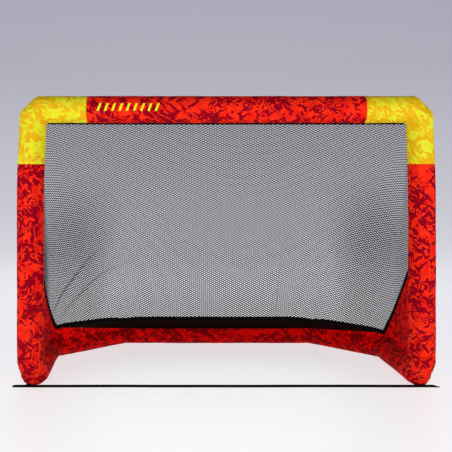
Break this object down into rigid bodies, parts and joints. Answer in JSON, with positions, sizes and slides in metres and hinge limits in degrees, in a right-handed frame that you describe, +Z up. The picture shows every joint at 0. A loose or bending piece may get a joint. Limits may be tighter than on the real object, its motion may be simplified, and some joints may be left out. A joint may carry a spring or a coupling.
{
  "type": "inflatable soccer goal",
  "caption": "Inflatable children's soccer goal: fabric-covered air tube bent into an upright arch and a floor frame, with a fine net, gussets and a floor strap.",
  "frame": {"origin": "on the floor, midway between the sides and midway from front to back", "axes": "+X right as seen from the front, +Y from the mouth towards the back bar, +Z up"},
  "size_m": [1.22, 0.691, 0.83],
  "materials": {
    "red_fabric": "matte",
    "yellow_fabric": "matte",
    "black_tape": "matte",
    "skirt_mesh": "matte",
    "net_mesh": "matte",
    "bladder_film": "satin",
    "valve_plastic": "satin",
    "seal_rubber": "matte",
    "steel": "satin",
    "zip_plastic": "matte"
  },
  "bodies": {
    "goal": {"crossbar_sleeve": "red_fabric", "back_sleeve": "red_fabric", "upright_sleeve_left": "red_fabric", "foot_sleeve_left": "red_fabric", "side_sleeve_left": "red_fabric", "rear_corner_sleeve_left": "red_fabric", "gusset_left": "red_fabric", "upright_sleeve_right": "red_fabric", "foot_sleeve_right": "red_fabric", "side_sleeve_right": "red_fabric", "rear_corner_sleeve_right": "red_fabric", "gusset_right": "red_fabric", "corner_sleeve_left": "yellow_fabric", "corner_sleeve_right": "yellow_fabric", "net_top_tape": "black_tape", "hem_tape_back": "black_tape", "goal_line_strap": "black_tape", "hem_tape_left": "black_tape", "gusset_tape_left": "black_tape", "net_side_tape_left": "black_tape", "strap_tab_left": "black_tape", "hem_tape_right": "black_tape", "gusset_tape_right": "black_tape", "net_side_tape_right": "black_tape", "strap_tab_right": "black_tape", "skirt_back": "skirt_mesh", "skirt_left": "skirt_mesh", "skirt_right": "skirt_mesh", "net_back_panel": "net_mesh", "net_flank_left": "net_mesh", "net_side_left": "net_mesh", "net_flank_right": "net_mesh", "net_side_right": "net_mesh", "air_bladder": "bladder_film", "valve_body": "valve_plastic", "valve_ring": "valve_plastic", "valve_spring": "steel", "valve_cap_pin": "steel", "zip_stop_left": "steel", "zip_stop_right": "steel", "zip_tape_upper": "zip_plastic", "zip_tape_lower": "zip_plastic", "zip_teeth": "zip_plastic"},
    "poppet": {"valve_poppet": "valve_plastic", "valve_seal": "seal_rubber"},
    "cap": {"valve_cap": "valve_plastic"},
    "slider": {"zip_slider": "steel"},
    "pull": {"zip_pull": "zip_plastic"}
  },
  "joints": [
    {"name": "valve_poppet_press", "type": "slide", "parent": "goal", "child": "poppet", "axis": [0, -1, 0], "range_m": [0, 0.0035], "stiffness_N_per_m": 200, "springref_m": -0.003, "deforming": ["valve_spring"]},
    {"name": "valve_cap_flip", "type": "hinge", "parent": "goal", "child": "cap", "pos_m": [0.24, 0.3412, 0.0255], "axis": [-1, 0, 0], "range_deg": [0, 140]},
    {"name": "zip_slide", "type": "slide", "parent": "goal", "child": "slider", "axis": [1, 0, 0], "range_m": [0, 0.35]},
    {"name": "zip_pull_swing", "type": "hinge", "parent": "slider", "child": "pull", "pos_m": [-0.215, 0.3431, 0.0385], "axis": [0, 0, 1], "range_deg": [0, 180]}
  ]
}
